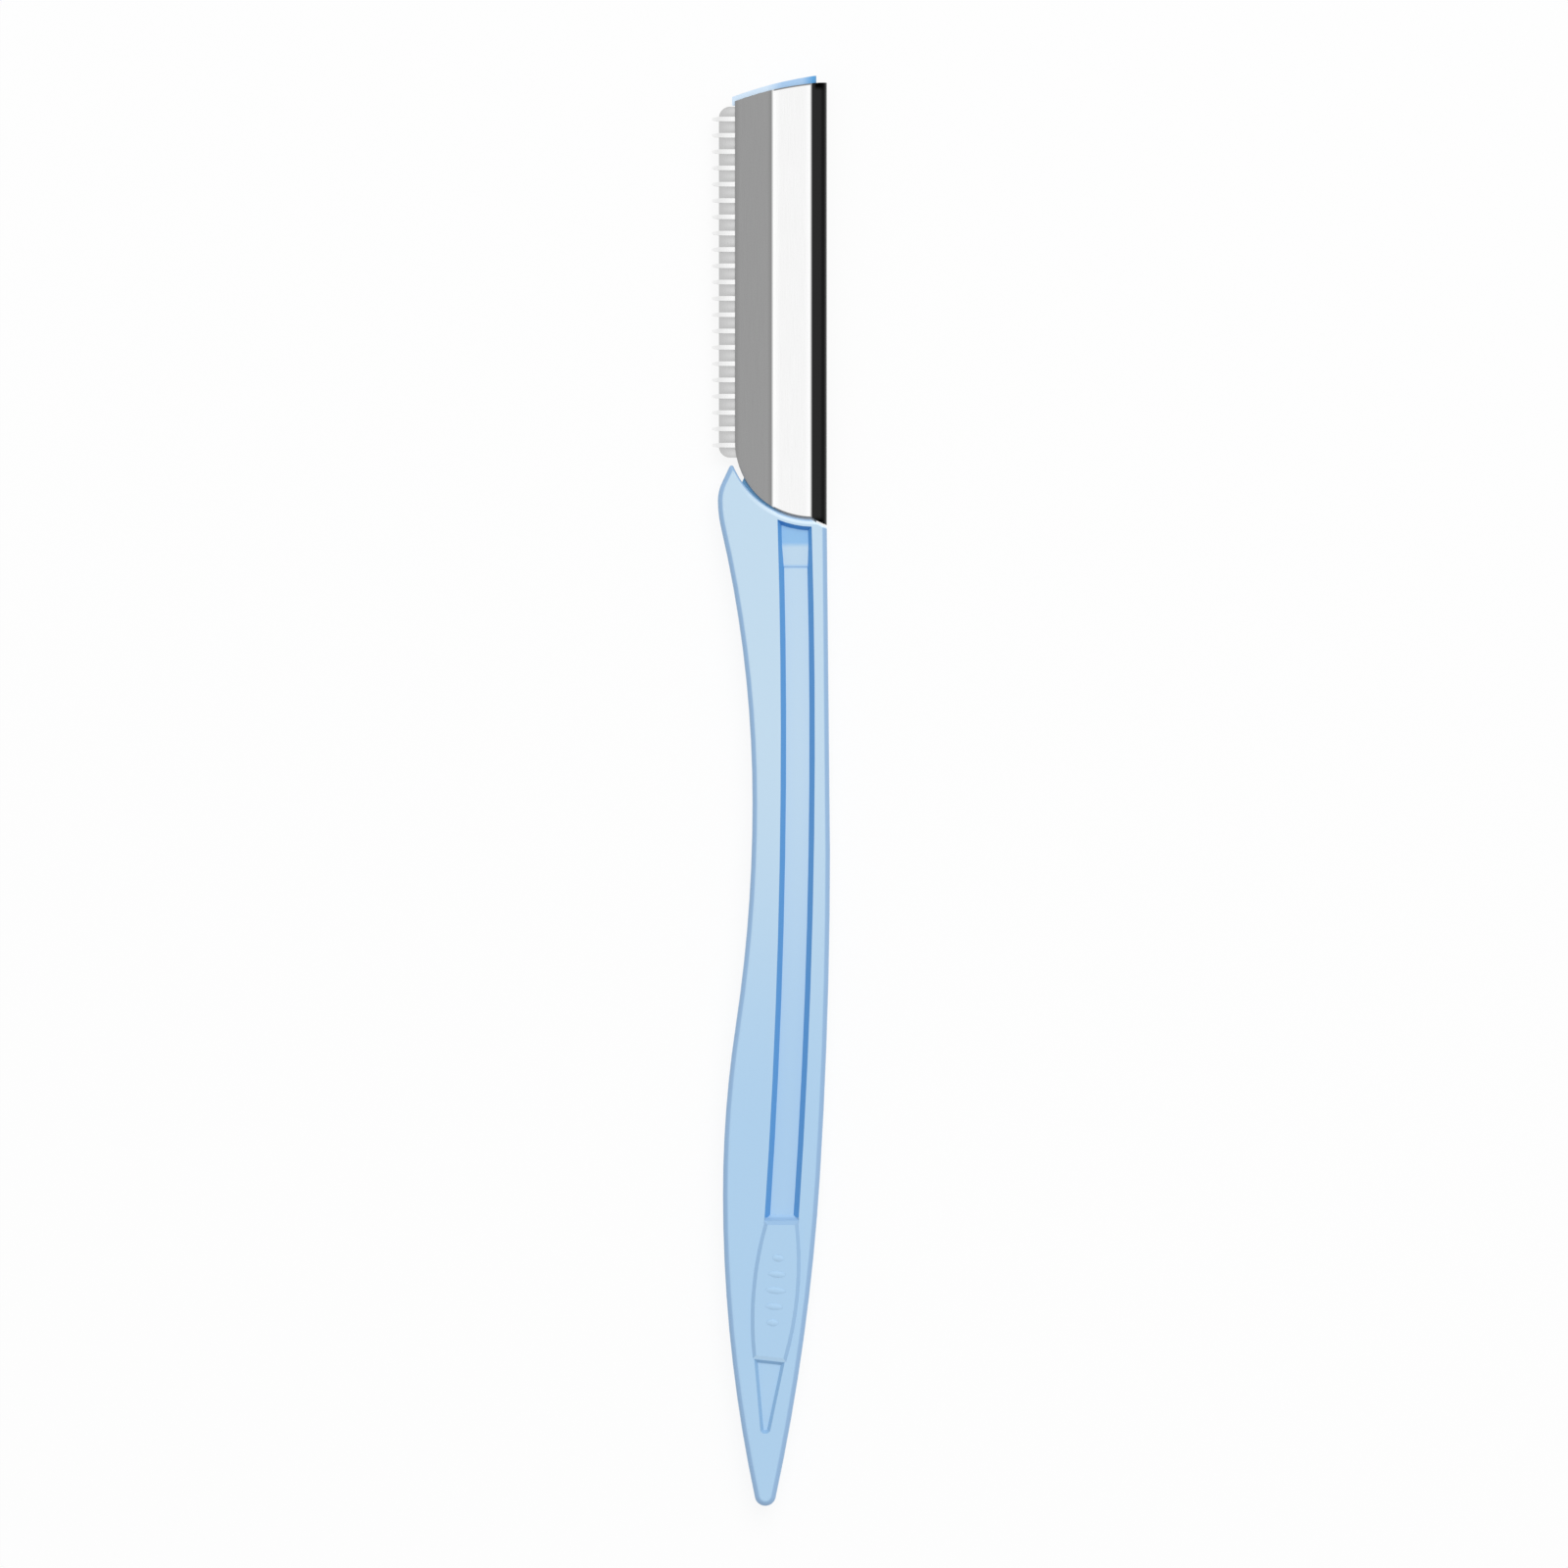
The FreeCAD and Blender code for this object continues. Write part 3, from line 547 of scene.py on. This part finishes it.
def cover_bands(finish, crease_x, fold_x):
    """Painted reflections across the cover: leaf, flat band and spine, each with painted shade or glints
    at its edges.
    """
    return finish.bands(finish.x, [
        (cover_low.x, grey(LEAF_EDGE_SHADE)),
        (cover_low.x + LEAF_SHADE, grey(LEAF_REFLECTION)),
        (crease_x - LEAF_SHADE, grey(LEAF_REFLECTION)),
        (crease_x - SOFT, grey(LEAF_EDGE_SHADE)),
        (crease_x + CREASE_GLINT[0], grey(BAND_EDGE_GLINT)),
        (crease_x + CREASE_GLINT[1], grey(BAND_REFLECTION)),
        (fold_x - FOLD_GLINT[0], grey(BAND_REFLECTION)),
        (fold_x - FOLD_GLINT[1], grey(BAND_EDGE_GLINT)),
        (fold_x - SOFT, grey(SPINE_REFLECTION)),
        (spine_x - SPINE_SHADE[0], grey(SPINE_REFLECTION)),
        (spine_x - SPINE_SHADE[1], grey(SPINE_EDGE_SHADE)),
        (spine_x, grey(SPINE_EDGE_SHADE)),
    ])


def on_cut_edge_shade(finish, crease_x, fold_x):
    """1 on the flat band's two cut ends, where a dark line of shade is painted."""
    past_seat = from_arc(finish, seat_centre, SEAT_RADIUS)
    past_top = from_arc(finish, top_centre, TOP_RADIUS)
    near_foot = finish.rise(finish.y, seat_centre.y, seat_centre.y - CUT_BELOW_SEAT_CENTRE)
    at_foot = finish.both(finish.rise(past_seat, *CUT_PAST_SEAT), near_foot)
    at_top = finish.rise(past_top, *CUT_PAST_TOP)
    return finish.both(
        finish.rise(finish.x, crease_x, crease_x + CUT_ENDS),
        finish.rise(finish.x, fold_x - SOFT, fold_x - CUT_ENDS),
        finish.maths("MAXIMUM", at_foot, at_top),
    )


def on_spine_end_shade(finish, fold_x):
    """1 on the spine's two ends, where deeper shade is painted."""
    from_low = finish.less(finish.y, cover_low.y)
    from_high = finish.less(cover_high.y, finish.y)
    from_end = finish.maths("MINIMUM", from_low, from_high)
    on_spine = finish.rise(finish.x, fold_x, fold_x + SPINE_END_START)
    return finish.both(on_spine, finish.rise(from_end, *SPINE_END_LENGTH))


def cover_steel():
    """Folded sheet, with painted reflections: a grey leaf, a bright flat band and a dark spine, and
    painted shade at their edges and ends.
    """
    finish = Finish("cover_steel_finish")
    crease_x = spine_x - CREASE_INSET
    fold_x = spine_x - (cover_high.z - cover_low.z) / 2
    base = cover_bands(finish, crease_x, fold_x)
    # Painted shade line along the band's cut ends
    base = finish.mix(on_cut_edge_shade(finish, crease_x, fold_x), base, grey(CUT_EDGE_SHADE))
    # Painted shade at the spine's two ends
    base = finish.mix(on_spine_end_shade(finish, fold_x), base, grey(SPINE_END_SHADE))
    brushed(finish, base, roughness=0.24, depth=0.004 * MM)
    return finish


def blade_steel():
    """Blade strip: ground steel, darker towards its edge, with painted shade beside the bars of the
    guard.
    """
    finish = Finish("blade_steel_finish")
    plain = finish.bands(finish.x, [
        (blade_low.x, grey(BLADE_EDGE_AND_BAR_SHADE)),
        (cover_low.x, grey(BLADE)),
        (blade_high.x, grey(BLADE)),
    ])
    # Painted shade beside each bar of the guard
    half_pitch = BAR_PITCH / 2
    past_first_bar = finish.less(finish.y, guard_low.y + half_pitch)
    from_bar = finish.maths("PINGPONG", past_first_bar, half_pitch)
    shaded = finish.rise(from_bar, half_pitch, BAR_WIDTH / 2)
    base = finish.mix(shaded, plain, grey(BLADE_EDGE_AND_BAR_SHADE))
    brushed(finish, base, roughness=0.3, depth=0.003 * MM)
    return finish


def guard_steel():
    """Slotted foil over the edge: bright thin steel."""
    finish = Finish("guard_steel_finish")
    base = finish.bands(finish.x, [
        (guard_low.x, grey(BAR_TIP)),
        (blade_low.x, grey(BAR_EDGE)),
        (cover_low.x, grey(BAR)),
        (guard_high.x, grey(BAR)),
    ])
    brushed(finish, base, roughness=0.28, depth=0.002 * MM)
    return finish


# Grip bars
def grip_bar(mesh, centre, across, along, length):
    """Adds one low domed bar to the mesh."""
    up = Vector((0, 0, 1))
    loops = []
    for ring in range(GRIP_RINGS + 1):
        share = math.cos(math.pi / 2 * ring / (GRIP_RINGS + 1))
        rise = GRIP_HEIGHT * (1 - share ** 2)
        loop = []
        for corner in range(GRIP_CORNERS):
            turn = 2 * math.pi * corner / GRIP_CORNERS
            aside = across * (length / 2 * share * math.cos(turn))
            down = along * (GRIP_WIDTH / 2 * share * math.sin(turn))
            loop.append(mesh.verts.new(centre + aside + down + up * rise))
        loops.append(loop)
    foot = [mesh.verts.new(vertex.co - up * GRIP_SUNK) for vertex in loops[0]]
    loops.insert(0, foot)
    for lower, upper in zip(loops, loops[1:]):
        for corner in range(GRIP_CORNERS):
            after = (corner + 1) % GRIP_CORNERS
            mesh.faces.new((lower[corner], lower[after], upper[after], upper[corner]))
    mesh.faces.new(loops[-1])
    mesh.faces.new(reversed(foot))


def grip_bars(finish):
    """A column of five low grip bars across the thumb pad, longest in the middle."""
    along = (pad_foot - pad_top).normalized()
    across = Vector((-along.y, along.x, 0))
    middle = (pad_top + pad_foot) / 2 + Vector((0, 0, handle_high.z))
    mesh = bmesh.new()
    for number, length in enumerate(GRIP_LENGTHS):
        centre = middle + along * GRIP_PITCH * (number - (len(GRIP_LENGTHS) - 1) / 2)
        grip_bar(mesh, centre, across, along, length)
    bmesh.ops.recalc_face_normals(mesh, faces=mesh.faces)
    for face in mesh.faces:
        face.smooth = len(face.verts) == 4
    data = bpy.data.meshes.new("thumb_pad_bars")
    mesh.to_mesh(data)
    mesh.free()
    bars = bpy.data.objects.new("thumb_pad_bars", data)
    bpy.context.scene.collection.objects.link(bars)
    data.materials.append(finish.material)
    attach(bars, "root")


# Floor, light and camera
def shown_backdrop(tree):
    """1 for a ray that shows the backdrop: seen by the camera, mirrored, or seen through glass."""
    path = tree.nodes.new("ShaderNodeLightPath")
    shown = path.outputs["Is Camera Ray"]
    for name in ("Is Glossy Ray", "Is Transmission Ray"):
        either = tree.nodes.new("ShaderNodeMath")
        either.operation = "MAXIMUM"
        tree.links.new(shown, either.inputs[0])
        tree.links.new(path.outputs[name], either.inputs[1])
        shown = either.outputs[0]
    return shown


def floor_material():
    """White paint that takes shadows, with a white glow wherever the backdrop shows."""
    material = bpy.data.materials.new("floor_white")
    material.use_nodes = True
    tree = material.node_tree
    tree.nodes.clear()
    output = tree.nodes.new("ShaderNodeOutputMaterial")
    blend = tree.nodes.new("ShaderNodeMixShader")
    paint = tree.nodes.new("ShaderNodeBsdfDiffuse")
    glow = tree.nodes.new("ShaderNodeEmission")
    share = tree.nodes.new("ShaderNodeMath")
    share.operation = "MULTIPLY"
    share.inputs[1].default_value = FLOOR_GLOW
    paint.inputs["Color"].default_value = (FLOOR_WHITE, FLOOR_WHITE, FLOOR_WHITE, 1)
    tree.links.new(shown_backdrop(tree), share.inputs[0])
    tree.links.new(share.outputs[0], blend.inputs[0])
    tree.links.new(paint.outputs[0], blend.inputs[1])
    tree.links.new(glow.outputs[0], blend.inputs[2])
    tree.links.new(blend.outputs[0], output.inputs["Surface"])
    return material


def white_floor():
    """A wide white floor that keeps a soft shadow."""
    data = bpy.data.meshes.new("floor")
    half = FLOOR_SIDE / 2
    corners = [(-half, -half, 0), (half, -half, 0), (half, half, 0), (-half, half, 0)]
    data.from_pydata(corners, [], [(0, 1, 2, 3)])
    floor = bpy.data.objects.new("floor", data)
    bpy.context.scene.collection.objects.link(floor)
    data.materials.append(floor_material())


def white_sky():
    """An even white sky, at full strength wherever the backdrop shows."""
    world = bpy.data.worlds.new("studio")
    bpy.context.scene.world = world
    world.use_nodes = True
    tree = world.node_tree
    sky = tree.nodes["Background"]
    strength = tree.nodes.new("ShaderNodeMapRange")
    strength.inputs["To Min"].default_value = SKY_STRENGTH
    strength.inputs["To Max"].default_value = 1.0
    tree.links.new(shown_backdrop(tree), strength.inputs["Value"])
    tree.links.new(strength.outputs[0], sky.inputs["Strength"])
    sky.inputs["Color"].default_value = (1, 1, 1, 1)


def key_lamp():
    """One large soft lamp from above the head, which metal doesn't mirror."""
    lamp = bpy.data.lights.new("key", "AREA")
    lamp.shape = "SQUARE"
    lamp.size = KEY_SIDE
    # The energy that puts the key's share on a level face at the origin
    steep = KEY_PLACE.normalized().z
    lamp.energy = KEY_SHARE * (math.pi * KEY_PLACE.length) ** 2 / steep
    key = bpy.data.objects.new("key", lamp)
    key.location = KEY_PLACE
    key.rotation_euler = KEY_PLACE.to_track_quat("Z", "Y").to_euler()
    key.visible_glossy = False
    bpy.context.scene.collection.objects.link(key)


def photo_camera():
    """Looks straight down, and frames the razor as the photo does."""
    data = bpy.data.cameras.new("camera")
    data.lens = LENS
    data.sensor_width = SENSOR
    pixel = (cad_box[1].y - cad_box[0].y) / RAZOR_ROWS
    half = PHOTO_SIDE / 2
    distance = PHOTO_SIDE * pixel * LENS / SENSOR
    camera = bpy.data.objects.new("camera", data)
    camera.location = (
        (half - RAZOR_MIDDLE[0]) * pixel,
        (RAZOR_MIDDLE[1] - half) * pixel,
        handle_high.z + distance,
    )
    bpy.context.scene.collection.objects.link(camera)
    bpy.context.scene.camera = camera


plastic = handle_plastic()
plastic.paint("handle")
carrier_plastic().paint("blade_carrier")
cover_steel().paint("blade_cover")
blade_steel().paint("blade")
guard_steel().paint("edge_guard")
grip_bars(plastic)
white_floor()
white_sky()
key_lamp()
photo_camera()
bpy.context.scene.view_settings.view_transform = "Standard"
